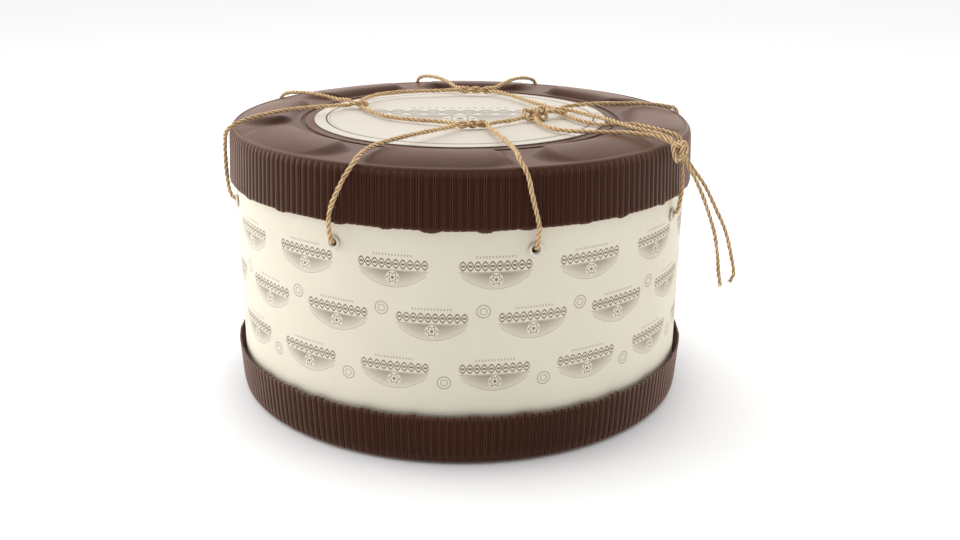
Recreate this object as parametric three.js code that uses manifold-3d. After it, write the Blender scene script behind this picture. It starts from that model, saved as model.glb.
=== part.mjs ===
// Round gift box for a large sweet bread: ribbed lid, card wall, ribbed base tray,
// eight eyelets and the twine that laces the lid down. Millimetres, +Z up, front towards -Y.
import * as THREE from "three";
import { mergeVertices } from "three/addons/utils/BufferGeometryUtils.js";
import Module from "manifold-3d";

const wasm = await Module();
wasm.setup();

// ---- driving dimensions ----
const SHEET = 0.8;              // pressed sheet of the lid and the tray
const ROUND_SEGMENTS = 96;

const TRAY_FOOT_RADIUS = 121.4;
const TRAY_CORNER_RADIUS = 123.9;
const TRAY_CORNER_HEIGHT = 2.5;
const TRAY_MOUTH_RADIUS = 125.4;
const TRAY_HEIGHT = 26.7;

const WALL_RADIUS = 122.3;
const CARD = 1.4;               // thickness of the card wall
const WALL_FOOT = 2.2;
const WALL_TOP = 143.6;

const LID_LEVEL = 145.6;        // flat of the lid and its rim fold
const LID_EDGE_HEIGHT = 118;    // lower edge of the skirt
const LID_EDGE_RADIUS = 125;
const LID_SHOULDER_RADIUS = 123.7;
const LID_SHOULDER_HEIGHT = 143.4;
const LID_FOLD_RADIUS = 122.2;
const GROOVE_DEPTH = 0.8;

const PILLOW_COUNT = 8;
const PILLOW_HEIGHT = 3.2;
const PILLOW_INNER_RADIUS = 89.5;
const PILLOW_OUTER_RADIUS = 120;
const VALLEY_HALF_ANGLE = 2.8;  // degrees of flat each side of a valley's middle
const PILLOW_END_ANGLE = 9.5;   // degrees from a valley's middle to a pillow's full height

const LABEL_RADIUS = 79;
const LABEL_THICKNESS = 0.4;
const LABEL_LIFT = 0.3;

const EYELET_HEIGHT = 107.4;
const EYELET_START = -118.5;    // degrees from the front, positive towards +X
const EYELET_STEP = 45;
const EYELET_BORE_RADIUS = 1.9;
const WALL_HOLE_RADIUS = 2.6;

const TWINE_RADIUS = 1.2;
const TWINE_SIDES = 8;

// ---- materials ----
const finish = (color, roughness, metalness = 0) => () =>
  new THREE.MeshStandardMaterial({ color, roughness, metalness });
const brownSheet = finish(0x4a2a20, 0.38);
const creamCard = finish(0xe9e1cc, 0.7);
const creamPaper = finish(0xf0e8d4, 0.75);
const ivoryEyelet = finish(0xede6d6, 0.35);
const jute = finish(0xbe9760, 0.9);

// ---- helpers ----
const box = new THREE.Group();

function add(name, geometry, material) {
  const mesh = new THREE.Mesh(geometry, material());
  mesh.name = name;
  box.add(mesh);
  return mesh;
}

// A point at a radius and an angle from the front, at a height.
function around(radius, degrees, z) {
  const a = THREE.MathUtils.degToRad(degrees);
  return new THREE.Vector3(radius * Math.sin(a), -radius * Math.cos(a), z);
}

// A body turned about +Z from [radius, height] pairs.
function turned(profile, segments = ROUND_SEGMENTS) {
  const points = profile.map(([r, z]) => new THREE.Vector2(r, z));
  return new THREE.LatheGeometry(points, segments).rotateX(Math.PI / 2);
}

function toSolid(geometry) {
  const bare = geometry.clone();
  bare.deleteAttribute("normal");
  bare.deleteAttribute("uv");
  const merged = mergeVertices(bare, 1e-4);
  return new wasm.Manifold(new wasm.Mesh({
    numProp: 3,
    vertProperties: new Float32Array(merged.attributes.position.array),
    triVerts: new Uint32Array(merged.index.array),
  }));
}

function toGeometry(solid) {
  const mesh = solid.getMesh();
  const geometry = new THREE.BufferGeometry();
  geometry.setAttribute("position", new THREE.BufferAttribute(mesh.vertProperties, 3));
  geometry.setIndex(new THREE.BufferAttribute(mesh.triVerts, 1));
  geometry.computeVertexNormals();
  return geometry;
}

// A route that goes straight from one stated point to the next.
class Route extends THREE.Curve {
  constructor(points) {
    super();
    this.points = points;
  }
  getPoint(t, target = new THREE.Vector3()) {
    const last = this.points.length - 1;
    const place = Math.min(Math.max(t, 0), 1) * last;
    const i = Math.min(Math.floor(place + 1e-9), last - 1);
    return target.lerpVectors(this.points[i], this.points[i + 1], place - i);
  }
  getPointAt(u, target) {
    return this.getPoint(u, target);
  }
  getTangentAt(u, target = new THREE.Vector3()) {
    const last = this.points.length - 1;
    const i = Math.round(u * last);
    const before = this.points[Math.max(i - 1, 0)];
    const here = this.points[i];
    const after = this.points[Math.min(i + 1, last)];
    const inward = here.clone().sub(before).normalize();
    const outward = after.clone().sub(here).normalize();
    return target.copy(inward).add(outward).normalize();
  }
}

function twine(name, points) {
  const section = new THREE.Shape();
  for (let side = 0; side < TWINE_SIDES; side += 1) {
    const a = (side * 2 * Math.PI) / TWINE_SIDES;
    const x = TWINE_RADIUS * Math.cos(a);
    const y = TWINE_RADIUS * Math.sin(a);
    if (side === 0) section.moveTo(x, y);
    else section.lineTo(x, y);
  }
  section.closePath();
  const geometry = new THREE.ExtrudeGeometry(section, {
    steps: points.length - 1,
    extrudePath: new Route(points),
    bevelEnabled: false,
  });
  add(name, geometry, jute);
}

function knot(name, centre, halfSizes, turn = 0) {
  const mesh = add(name, new THREE.SphereGeometry(1, 16, 10), jute);
  mesh.position.set(...centre);
  mesh.rotation.z = THREE.MathUtils.degToRad(turn);
  mesh.scale.set(...halfSizes);
}

const at = (x, y, z) => new THREE.Vector3(x, y, z);

// ---- base tray ----
add("base_tray", turned([
  [0, 0],
  [TRAY_FOOT_RADIUS, 0],
  [TRAY_CORNER_RADIUS - 0.8, 0.8],
  [TRAY_CORNER_RADIUS, TRAY_CORNER_HEIGHT],
  [TRAY_MOUTH_RADIUS, TRAY_HEIGHT],
  [TRAY_MOUTH_RADIUS - SHEET, TRAY_HEIGHT],
  [TRAY_CORNER_RADIUS - SHEET, TRAY_CORNER_HEIGHT],
  [TRAY_FOOT_RADIUS, SHEET],
  [0, SHEET],
]), brownSheet);

// ---- card wall with its lacing holes ----
let wall = toSolid(turned([
  [WALL_RADIUS - CARD, WALL_FOOT],
  [WALL_RADIUS, WALL_FOOT],
  [WALL_RADIUS, WALL_TOP],
  [WALL_RADIUS - CARD, WALL_TOP],
  [WALL_RADIUS - CARD, WALL_FOOT],
]));
const eyeletAngles = [];
for (let i = 0; i < PILLOW_COUNT; i += 1) {
  eyeletAngles.push(EYELET_START + i * EYELET_STEP);
}
for (const degrees of eyeletAngles) {
  const drill = new THREE.CylinderGeometry(WALL_HOLE_RADIUS, WALL_HOLE_RADIUS, 8, 16);
  const middle = around(WALL_RADIUS - CARD / 2, degrees, EYELET_HEIGHT);
  const outward = around(1, degrees, 0);
  drill.applyQuaternion(new THREE.Quaternion().setFromUnitVectors(at(0, 1, 0), outward));
  drill.translate(middle.x, middle.y, middle.z);
  wall = wall.subtract(toSolid(drill));
}
add("side_wall", toGeometry(wall), creamCard);

// ---- lid: one pressed shell with eight pillows between the lacing valleys ----
const smooth = (t) => {
  const s = Math.min(Math.max(t, 0), 1);
  return s * s * (3 - 2 * s);
};

function pillowRise(x, y) {
  const r = Math.hypot(x, y);
  const across = (r - PILLOW_INNER_RADIUS) / (PILLOW_OUTER_RADIUS - PILLOW_INNER_RADIUS);
  if (across <= 0 || across >= 1) return 0;
  const degrees = THREE.MathUtils.radToDeg(Math.atan2(x, -y));
  const turns = (degrees - EYELET_START) / EYELET_STEP;
  const fromValley = Math.abs(turns - Math.round(turns)) * EYELET_STEP;
  const along = smooth((fromValley - VALLEY_HALF_ANGLE) / (PILLOW_END_ANGLE - VALLEY_HALF_ANGLE));
  return PILLOW_HEIGHT * Math.pow(Math.sin(Math.PI * Math.pow(across, 0.8)), 0.7) * along;
}

const lidShell = turned([
  [0, LID_LEVEL - SHEET],
  [PILLOW_INNER_RADIUS, LID_LEVEL - SHEET],
  [96, LID_LEVEL - SHEET],
  [104, LID_LEVEL - SHEET],
  [112, LID_LEVEL - SHEET],
  [PILLOW_OUTER_RADIUS, LID_LEVEL - SHEET],
  [LID_FOLD_RADIUS - 0.4, LID_LEVEL - SHEET],
  [LID_SHOULDER_RADIUS - SHEET, LID_SHOULDER_HEIGHT],
  [LID_EDGE_RADIUS - SHEET, LID_EDGE_HEIGHT],
  [LID_EDGE_RADIUS, LID_EDGE_HEIGHT],
  [LID_SHOULDER_RADIUS, LID_SHOULDER_HEIGHT],
  [LID_FOLD_RADIUS, LID_LEVEL],
  [PILLOW_OUTER_RADIUS, LID_LEVEL],
  [116, LID_LEVEL],
  [112, LID_LEVEL],
  [108, LID_LEVEL],
  [104, LID_LEVEL],
  [100, LID_LEVEL],
  [96, LID_LEVEL],
  [92.5, LID_LEVEL],
  [PILLOW_INNER_RADIUS, LID_LEVEL],
  [86.2, LID_LEVEL],
  [85.2, LID_LEVEL - GROOVE_DEPTH * 0.6],
  [84.2, LID_LEVEL],
  [0, LID_LEVEL],
]);
const lidPoints = lidShell.attributes.position;
for (let i = 0; i < lidPoints.count; i += 1) {
  const rise = pillowRise(lidPoints.getX(i), lidPoints.getY(i));
  if (rise > 0) lidPoints.setZ(i, lidPoints.getZ(i) + rise);
}
lidShell.computeVertexNormals();
add("lid", lidShell, brownSheet);

// ---- round paper label ----
const label = new THREE.CylinderGeometry(LABEL_RADIUS, LABEL_RADIUS, LABEL_THICKNESS, ROUND_SEGMENTS);
label.rotateX(Math.PI / 2);
label.translate(0, 0, LID_LEVEL + LABEL_LIFT + LABEL_THICKNESS / 2);
add("lid_label", label, creamPaper);

// ---- eyelets: a barrel through the card with a rolled rim outside and a flange inside ----
const eyeletProfile = [
  [EYELET_BORE_RADIUS, -1.4],
  [3.3, -1.4],
  [3.3, -1.0],
  [2.3, -1.0],
  [2.3, 1.05],
  [3.7, 1.05],
  [3.6, 1.5],
  [2.9, 1.9],
  [2.2, 1.7],
  [EYELET_BORE_RADIUS, 1.2],
  [EYELET_BORE_RADIUS, -1.4],
].map(([r, h]) => new THREE.Vector2(r, h));
eyeletAngles.forEach((degrees, i) => {
  const mesh = add(`eyelet_${i + 1}`, new THREE.LatheGeometry(eyeletProfile, 16), ivoryEyelet);
  mesh.position.copy(around(WALL_RADIUS - CARD / 2, degrees, EYELET_HEIGHT));
  mesh.quaternion.setFromUnitVectors(at(0, 1, 0), around(1, degrees, 0));
});

// ---- lacing twine: over the lid in four hooked loops, inside from eyelet to eyelet ----
const SPAN_RADIUS = 119 * Math.cos(THREE.MathUtils.degToRad(EYELET_STEP / 2));

// From the middle of an inner span, out through an eyelet and up to the rim of the lid.
function rising(eyelet, side, skirtAngle, rimAngle) {
  return [
    around(SPAN_RADIUS, eyelet + side * EYELET_STEP / 2, EYELET_HEIGHT),
    around(118.6, eyelet, EYELET_HEIGHT),
    around(124.6, eyelet, EYELET_HEIGHT + 0.1),
    around(126.4, eyelet, EYELET_HEIGHT + 1.6),
    around(127.6, skirtAngle, LID_EDGE_HEIGHT),
    around(126.0, rimAngle, LID_LEVEL - 2.5),
    around(124.6, rimAngle, LID_LEVEL + 1.2),
    around(122.4, rimAngle, LID_LEVEL + 2.4),
  ];
}

const shiftEnd = (points, back) => {
  points[0] = points[0].clone().lerp(points[1], back);
  return points;
};
const SPAN_GAP = 0.004;         // share of a span left open where two stretches meet
const KNOT_GAP = 0.07;          // share of a span taken by the knot that closes the lacing

const frontLeft = shiftEnd(rising(-28.5, -1, -27.5, -24.3), SPAN_GAP);
const frontRight = shiftEnd(rising(16.5, 1, 16, 14), SPAN_GAP);
twine("lacing_front", [
  ...frontLeft,
  at(-42, -101, 149.2),
  at(-30, -81, 148.6),
  at(-6, -46, 150.2),
  at(0.5, -37.5, 150.9),
  at(5, -34.3, 149.3),
  at(11, -39.8, 147.9),
  at(15.5, -55, 147.9),
  at(24.5, -89, 148.4),
  at(27, -104, 148.8),
  ...frontRight.reverse(),
]);

const leftFront = shiftEnd(rising(-73.5, 1, -73, -72.5), SPAN_GAP);
const leftBack = shiftEnd(rising(-118.5, -1, -118, -116), KNOT_GAP);
twine("lacing_left", [
  ...leftFront,
  at(-107, -25, 149),
  at(-100, -17, 150.3),
  at(-90, -7, 150.1),
  at(-63, 12, 150),
  at(-54.6, 15.5, 150.9),
  at(-50.6, 20, 149.3),
  at(-54, 25.3, 147.9),
  at(-67, 33, 147.9),
  at(-98, 47, 148.6),
  ...leftBack.reverse(),
]);

const backLeft = shiftEnd(rising(-163.5, 1, -163.5, -163.5), KNOT_GAP);
const backRight = shiftEnd(rising(151.5, -1, 151.5, 151.5), SPAN_GAP);
twine("lacing_back", [
  ...backLeft,
  at(-26, 100, 148.6),
  at(-6, 75, 149.4),
  at(4.2, 59.2, 150.9),
  at(10, 55.6, 149.3),
  at(16, 58.6, 147.9),
  at(27, 70, 147.9),
  at(47, 93, 148.6),
  ...backRight.reverse(),
]);

const rightBack = shiftEnd(rising(106.5, 1, 104, 98), SPAN_GAP);
twine("lacing_right_upper", [
  ...rightBack,
  at(112, 13.2, 149.8),
  at(104, 11.5, 150.4),
  at(91, 9, 150),
  at(63, 6, 150.3),
  at(56, 3.6, 150.9),
  at(52.7, -0.6, 149.3),
  at(56.6, -5.4, 147.9),
  at(62, -19, 147.9),
  at(73, -29.5, 147.9),
  at(81, -33, 147.9),
  at(93, -42, 148.8),
  at(101, -56, 149.2),
  at(103.6, -65.5, 148.9),
]);
twine("lacing_right_lower", shiftEnd([
  around(SPAN_RADIUS, 39, EYELET_HEIGHT),
  around(118.6, 61.5, EYELET_HEIGHT),
  around(124.6, 61.5, EYELET_HEIGHT + 0.1),
  around(126.4, 61.5, EYELET_HEIGHT + 1.6),
  around(127.6, 62.3, LID_EDGE_HEIGHT),
  around(127.8, 61, 132),
  around(128.6, 57.4, 139.2),
], SPAN_GAP));
knot("lacing_knot", around(SPAN_RADIUS, -141, EYELET_HEIGHT).toArray(), [2.6, 2.6, 2.4], -141);

// ---- draw twine: a ring through the four loops, two runs to the rim and two hanging ends ----
twine("draw_ring", [
  at(32.6, -21.4, 148.8),
  at(24, -31, 148.6),
  at(17.5, -36.8, 149.8),
  at(11, -39.8, 150.7),
  at(5.5, -40.6, 149.3),
  at(0.5, -37.5, 148.1),
  at(-5, -32, 147.9),
  at(-34, -21.5, 147.9),
  at(-48.5, -3, 147.9),
  at(-54.6, 15.5, 148.1),
  at(-56.4, 20, 149.3),
  at(-54, 25.3, 150.7),
  at(-46, 44, 149),
  at(-15, 52.5, 147.9),
  at(4.2, 59.2, 148.1),
  at(10, 61.8, 149.3),
  at(16, 58.6, 150.7),
  at(35.5, 38, 148.2),
  at(47, 16.5, 147.9),
  at(56, 3.6, 148.1),
  at(58.6, -0.8, 149.3),
  at(56.6, -5.4, 150.7),
  at(51, -8.3, 150),
  at(47.2, -9.7, 149.6),
]);
knot("knot_centre", [40, -14.5, 149.5], [7.4, 6.2, 2.8], 50);
twine("draw_run_1", [
  at(48, -13.8, 149.8),
  at(53.5, -13.6, 150.8),
  at(61, -14, 151.2),
  at(71, -20.5, 151.2),
  at(77.5, -31.5, 151.2),
  at(85, -47, 150.2),
  at(92.6, -62.5, 149.8),
  at(100, -71, 148.4),
]);
twine("draw_run_2", [
  at(41.8, -22.6, 148.4),
  at(43.5, -34, 148),
  at(50, -52, 147.9),
  at(63, -57, 148.4),
  at(70, -58.8, 150),
  at(80.5, -62, 150.4),
  at(90.5, -67.5, 150.3),
  at(99.4, -74.4, 147.6),
]);
knot("knot_rim", [106.3, -74.4, 144.6], [5.2, 5, 4.8], 55);
twine("tail_1", [
  at(106.4, -79.6, 139.8),
  at(110.6, -80.6, 133),
  at(114.6, -80.4, 127.6),
  at(120.4, -79.6, 116.4),
  at(124.8, -78.6, 103.4),
  at(127.6, -77.8, 92),
  at(128.8, -77.4, 83.6),
  at(130.2, -77, 75.6),
]);
twine("tail_2", [
  at(109.6, -77.4, 139.8),
  at(114.2, -77, 133.4),
  at(118.4, -76.6, 127.2),
  at(125.2, -76, 115.2),
  at(130.8, -75.4, 103.4),
  at(135.4, -75, 89.6),
  at(137.2, -74.8, 81.4),
  at(136.2, -74.6, 77.6),
]);

export default box;
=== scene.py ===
"""A round gift box for a large sweet bread: ribbed lid and tray, card wall, label, eyelets and twine."""
import math
import random

import bpy
import numpy as np
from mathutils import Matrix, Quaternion, Vector


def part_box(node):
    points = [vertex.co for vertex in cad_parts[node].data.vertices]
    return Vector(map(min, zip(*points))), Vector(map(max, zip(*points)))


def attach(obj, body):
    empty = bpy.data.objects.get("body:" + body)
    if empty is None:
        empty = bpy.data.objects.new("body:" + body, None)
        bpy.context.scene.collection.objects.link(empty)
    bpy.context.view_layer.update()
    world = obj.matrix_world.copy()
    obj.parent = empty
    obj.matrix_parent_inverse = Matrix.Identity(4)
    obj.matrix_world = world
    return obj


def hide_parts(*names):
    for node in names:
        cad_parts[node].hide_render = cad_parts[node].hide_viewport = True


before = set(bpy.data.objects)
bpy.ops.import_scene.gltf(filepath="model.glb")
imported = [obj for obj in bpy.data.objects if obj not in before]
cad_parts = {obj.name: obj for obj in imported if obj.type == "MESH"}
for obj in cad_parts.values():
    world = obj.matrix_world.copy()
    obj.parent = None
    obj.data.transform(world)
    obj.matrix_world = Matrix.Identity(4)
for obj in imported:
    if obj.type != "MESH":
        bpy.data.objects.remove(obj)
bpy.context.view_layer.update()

bl_info = {
    "name": "Laced Gift Box",
    "version": (1, 0, 0),
    "blender": (4, 5, 0),
    "location": "View3D > Sidebar > Gift Box",
    "description": "Builds a round lidded gift box laced with jute twine",
    "category": "Add Mesh",
}

EYELETS = [-118.5 + 45 * i for i in range(8)]  # degrees from the front, positive towards +X


# ---- sizes and colours that a user would change ----
def length(name, description, default):
    return bpy.props.FloatProperty(
        name=name, description=description, default=default, unit="LENGTH", precision=5
    )


def colour(name, description, default):
    return bpy.props.FloatVectorProperty(
        name=name, description=description, default=default, size=4, subtype="COLOR", min=0, max=1
    )


class GIFTBOX_LidSizes(bpy.types.PropertyGroup):
    edge_radius: length("Edge radius", "Radius of the skirt at its lower edge", 0.1250)
    shoulder_radius: length("Shoulder radius", "Radius of the skirt where the ribs begin", 0.1237)
    fold_radius: length("Fold radius", "Radius of the fold round the top", 0.1222)
    level: length("Level", "Height of the lid's flat", 0.1456)
    edge_height: length("Edge height", "Height of the skirt's lower edge", 0.1180)
    pillow_height: length("Pillow height", "How far the eight pillows rise", 0.0034)
    rib_depth: length("Rib depth", "Depth of the flutes between the ribs", 0.0008)
    rib_count: bpy.props.IntProperty(name="Ribs", description="Ribs round the skirt", default=208, min=40)


class GIFTBOX_TraySizes(bpy.types.PropertyGroup):
    mouth_radius: length("Mouth radius", "Radius at the upper edge", 0.1254)
    foot_radius: length("Foot radius", "Radius just above the rounded foot", 0.1239)
    height: length("Height", "Height of the upper edge", 0.0267)
    sheet: length("Sheet", "Thickness of the pressed sheet", 0.0008)


class GIFTBOX_WallSizes(bpy.types.PropertyGroup):
    radius: length("Radius", "Outer radius of the card wall", 0.1223)
    card: length("Card", "Thickness of the card", 0.0014)
    foot: length("Foot", "Height of the wall's lower edge", 0.0022)
    top: length("Top", "Height of the wall's upper edge", 0.1436)
    eyelet_height: length("Eyelet height", "Height of the lacing holes", 0.1074)
    label_radius: length("Label radius", "Radius of the round label", 0.0790)


class GIFTBOX_TwineSizes(bpy.types.PropertyGroup):
    diameter: length("Diameter", "Diameter of the jute twine", 0.0024)
    lay: length("Lay", "Length of one full turn of the three strands", 0.0098)
    step: length("Step", "Distance between two rings of points along a strand", 0.0007)


class GIFTBOX_Finishes(bpy.types.PropertyGroup):
    brown: colour("Brown sheet", "Pressed sheet of the lid and tray", (0.035, 0.0105, 0.0055, 1))
    # real wear on the cut edges, and painted highlight on the fold and the ribs' corners
    brown_worn: colour("Worn brown", "Rubbed ridges of the ribs", (0.135, 0.075, 0.058, 1))
    card: colour("Cream card", "Face of the card wall", (0.77, 0.715, 0.585, 1))
    print_ink: colour("Print", "Faint print on the wall", (0.155, 0.088, 0.066, 1))
    label: colour("Label paper", "Round label", (0.60, 0.552, 0.475, 1))
    ring_ink: colour("Ring ink", "Thin ring on the label", (0.055, 0.026, 0.018, 1))
    eyelet: colour("Eyelet", "Lacing eyelets", (0.74, 0.69, 0.58, 1))
    # light jute is the fibre tone with a painted highlight on the strands' crowns
    jute_light: colour("Light jute", "Top of the twine's strands", (0.80, 0.585, 0.335, 1))
    # dark jute is the fibre's darker tone and the painted shade in the grooves between strands
    jute_dark: colour("Dark jute", "Fibres and the grooves of the twine", (0.265, 0.135, 0.050, 1))


def sizes(name):
    return getattr(bpy.context.scene, "giftbox_" + name)


# ---- shader nodes ----
def fill(tree, node, inputs):
    """Sets a node's inputs: a field or a socket is linked, anything else is a fixed value."""
    for name, value in inputs.items():
        if isinstance(value, Field):
            value = value.socket
        if isinstance(value, bpy.types.NodeSocket):
            tree.links.new(value, node.inputs[name])
        else:
            node.inputs[name].default_value = value
    return node


def added(tree, kind, inputs):
    return fill(tree, tree.nodes.new("ShaderNode" + kind), inputs)


def new_group(name, inputs, outputs):
    """A node group with float sockets. Returns its tree and its inputs as fields."""
    tree = bpy.data.node_groups.new(name, "ShaderNodeTree")
    for label, default in inputs.items():
        socket = tree.interface.new_socket(label, in_out="INPUT", socket_type="NodeSocketFloat")
        socket.default_value = default
    for label in outputs:
        tree.interface.new_socket(label, in_out="OUTPUT", socket_type="NodeSocketFloat")
    given = tree.nodes.new("NodeGroupInput")
    return tree, [Field(tree, given.outputs[label]) for label in inputs]


def placed_group(tree, group, inputs):
    node = tree.nodes.new("ShaderNodeGroup")
    node.node_tree = group
    return fill(tree, node, inputs)


# ---- fields: numbers that vary over a surface, written as sums instead of single nodes ----
class Field:
    def __init__(self, tree, socket):
        self.tree, self.socket = tree, socket

    def make(self, kind, *others, clamp=False):
        node = added(self.tree, "Math", dict(enumerate((self,) + others)))
        node.operation, node.use_clamp = kind, clamp
        return Field(self.tree, node.outputs[0])

    def __add__(self, other):
        return self.make("ADD", other)

    def __sub__(self, other):
        return self.make("SUBTRACT", other)

    def __mul__(self, other):
        return self.make("MULTIPLY", other)

    def __truediv__(self, other):
        return self.make("DIVIDE", other)

    def __abs__(self):
        return self.make("ABSOLUTE")

    def invert(self):
        return (self * -1.0).make("ADD", 1.0)

    def below(self, limit, soft):
        """1 where the field is well below the limit, 0 above it."""
        return self.ranged(limit - soft, limit + soft, 1.0, 0.0, "SMOOTHSTEP")

    def ranged(self, low, high, to_low, to_high, easing="LINEAR"):
        """The field carried from low..high to to_low..to_high, and held at the ends."""
        given = {"Value": self, "From Min": low, "From Max": high, "To Min": to_low, "To Max": to_high}
        ramp = added(self.tree, "MapRange", given)
        ramp.interpolation_type = easing
        return Field(self.tree, ramp.outputs["Result"])


def axes(tree, vector):
    """A vector's X, Y and Z as fields."""
    split = added(tree, "SeparateXYZ", {0: vector})
    return [Field(tree, split.outputs[i]) for i in range(3)]


def object_place(tree):
    """The surface point's own place in metres."""
    return added(tree, "TexCoord", {}).outputs["Object"]


def noise_field(tree, vector, scale, detail, stretch=None):
    if stretch:
        vector = added(tree, "Mapping", {"Scale": stretch, "Vector": vector}).outputs["Vector"]
    noise = added(tree, "TexNoise", {"Scale": scale, "Detail": detail, "Vector": vector})
    return Field(tree, noise.outputs["Fac"])


def attribute_field(tree, name):
    node = added(tree, "Attribute", {})
    node.attribute_name = name
    return Field(tree, node.outputs["Fac"])


def mixed(tree, amount, first, second):
    """Blends two colours, each a socket or four numbers."""
    node = tree.nodes.new("ShaderNodeMix")
    node.data_type = "RGBA"
    tree.links.new(amount.socket, node.inputs["Factor"])
    for name, value in (("A", first), ("B", second)):
        socket = [s for s in node.inputs if s.name == name and s.type == "RGBA"][0]
        if isinstance(value, bpy.types.NodeSocket):
            tree.links.new(value, socket)
        else:
            socket.default_value = value
    return [s for s in node.outputs if s.type == "RGBA"][0]


def surface_group():
    """Grain shared by several finishes: a mottle for colour and roughness, and a height for bump."""
    scales = {"Fine Scale": 900, "Coarse Scale": 60}
    tree, (fine, coarse) = new_group("surface_grain", scales, ("Mottle", "Height"))
    place = object_place(tree)
    small, large = noise_field(tree, place, fine, 6.0), noise_field(tree, place, coarse, 3.0)
    mottle, height = small * 0.35 + large * 0.65, small * 0.8 + large * 0.2
    fill(tree, tree.nodes.new("NodeGroupOutput"), {"Mottle": mottle, "Height": height})
    return tree


def grain(tree, fine, coarse):
    group = bpy.data.node_groups.get("surface_grain") or surface_group()
    node = placed_group(tree, group, {"Fine Scale": fine, "Coarse Scale": coarse})
    return Field(tree, node.outputs["Mottle"]), Field(tree, node.outputs["Height"])


def finish(name, roughness, specular=0.5):
    material = bpy.data.materials.new(name)
    material.use_nodes = True
    tree = material.node_tree
    shader = tree.nodes["Principled BSDF"]
    fill(tree, shader, {"Roughness": roughness, "Specular IOR Level": specular})
    return material, tree, shader


def bumped(tree, shader, height, depth, strength):
    node = added(tree, "Bump", {"Distance": depth, "Strength": strength, "Height": height})
    tree.links.new(node.outputs["Normal"], shader.inputs["Normal"])


def shaded(tree, amount, tone, share):
    """A colour that goes towards a darker share of itself."""
    return mixed(tree, amount, tone[:], [c * share for c in tone[:3]] + [1])


def surfaced(tree, shader, base, roughness, height, depth, strength=0.3):
    """Links colour, roughness and bump to the shader."""
    fill(tree, shader, {"Base Color": base, "Roughness": roughness})
    bumped(tree, shader, height, depth, strength)


def brown_sheet_finish():
    """Satin brown sheet, a little lighter where the trimmed edge is rubbed, with painted highlight along the
    fold and on the ribs' ridge corners.
    """
    tone = sizes("finishes")
    material, tree, shader = finish("brown_sheet_finish", 0.36, 0.12)
    sheen = {"Sheen Weight": 0.31, "Sheen Roughness": 0.45, "Sheen Tint": (1.0, 0.60, 0.42, 1)}
    fill(tree, shader, {"Specular Tint": (0.60, 0.34, 0.25, 1), **sheen})
    mottle, height = grain(tree, 1500, 45)
    # per-point share of real edge wear and painted highlight on the fold and rib corners
    wear = attribute_field(tree, "rubbed_and_highlight") * mottle.ranged(0.3, 0.7, 0.55, 1.0)
    base = shaded(tree, mottle.ranged(0.35, 0.65, 0.0, 1.0), tone.brown, 0.82)
    worn_and_highlight = mixed(tree, wear, base, tone.brown_worn[:])
    surfaced(tree, shader, worn_and_highlight, mottle.ranged(0.3, 0.7, 0.34, 0.44), height, 0.00012, 0.35)
    return material


def garland_group():
    """A motif about 34 wide and 15 high in its own units: a leaf chain over a shaded swag with a rosette."""
    tree, (across, rise) = new_group("garland_motif", {"Across": 0, "Rise": 0}, ("Ink",))
    inside = abs(across).below(16.9, 0.3)

    wave = abs((across * (math.pi / 3.4)).make("SINE"))
    chain = abs(abs(rise - 2.6) - wave * 2.0).below(0.42, 0.16) * inside
    pips = (wave.below(0.62, 0.15).invert()) * abs(rise - 2.6).below(0.5, 0.2) * inside
    rail = abs(rise + 0.4).below(0.16, 0.12) * inside * 0.7
    dash = abs((across * (math.pi / 1.5)).make("SINE")).below(0.62, 0.2)
    dots = dash * abs(rise - 6.9).below(0.5, 0.25) * abs(across).below(9.6, 0.4) * 0.6

    radius = (across * across + (rise + 4.0) * (rise + 4.0)).make("SQRT")
    petals = (rise + 4.0).make("ARCTAN2", across) * 6.0
    flower = abs(radius - (petals.make("COSINE") * 0.5 + 2.1)).below(0.26, 0.16)
    heart = radius.below(0.75, 0.2)

    low = rise + 8.6 - across * across * (1.0 / 42.0)
    swag = rise.below(-0.7, 0.2) * low.below(0.0, 0.5).invert() * abs(across).below(16.2, 0.8)
    shade = swag * low.ranged(0.0, 7.6, 0.08, 0.78) * radius.below(3.2, 0.25).invert()
    edge = abs(low).below(0.16, 0.12) * abs(across).below(15.8, 0.5) * rise.below(-0.4, 0.2) * 0.6

    ink = chain.make("MAXIMUM", pips).make("MAXIMUM", rail).make("MAXIMUM", dots)
    ink = ink.make("MAXIMUM", flower).make("MAXIMUM", heart).make("MAXIMUM", shade).make("MAXIMUM", edge)
    fill(tree, tree.nodes.new("NodeGroupOutput"), {"Ink": ink})
    return tree


def garland(tree, across, rise):
    group = bpy.data.node_groups.get("garland_motif") or garland_group()
    return Field(tree, placed_group(tree, group, {"Across": across, "Rise": rise}).outputs["Ink"])


def wall_print(tree):
    """Three staggered rows of the garland, with a small ring stamp between neighbours."""
    x, y, z = axes(tree, object_place(tree))
    radius_mm = sizes("wall").radius * 1000
    pitch, row_mm = 2 * math.pi * radius_mm / 16, 25.4
    along, up = x.make("ARCTAN2", y * -1.0) * radius_mm, z * 1000.0
    row = ((up - 34.9) / row_mm).make("FLOOR")
    odd = (row * 0.5).make("FRACT") * 2.0
    place = (along - 17.0 - odd * 18.3) / pitch + 0.5
    across = place.make("FRACT") * pitch - 0.5 * pitch
    rise = up - 34.9 - row * row_mm - 12.2
    gap = abs(across) * -1.0 + 0.5 * pitch
    above = rise - row * 10.5 + 4.5
    stamp_radius = (gap * gap + above * above).make("SQRT")
    outer, inner = abs(stamp_radius - 3.1).below(0.24, 0.16), abs(stamp_radius - 1.6).below(0.2, 0.16)
    stamp = outer.make("MAXIMUM", inner) * row.below(1.5, 0.1) * 0.7
    rows = up.below(110.5, 0.2) * up.below(35.1, 0.2).invert()
    return garland(tree, across, rise).make("MAXIMUM", stamp) * rows


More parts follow.
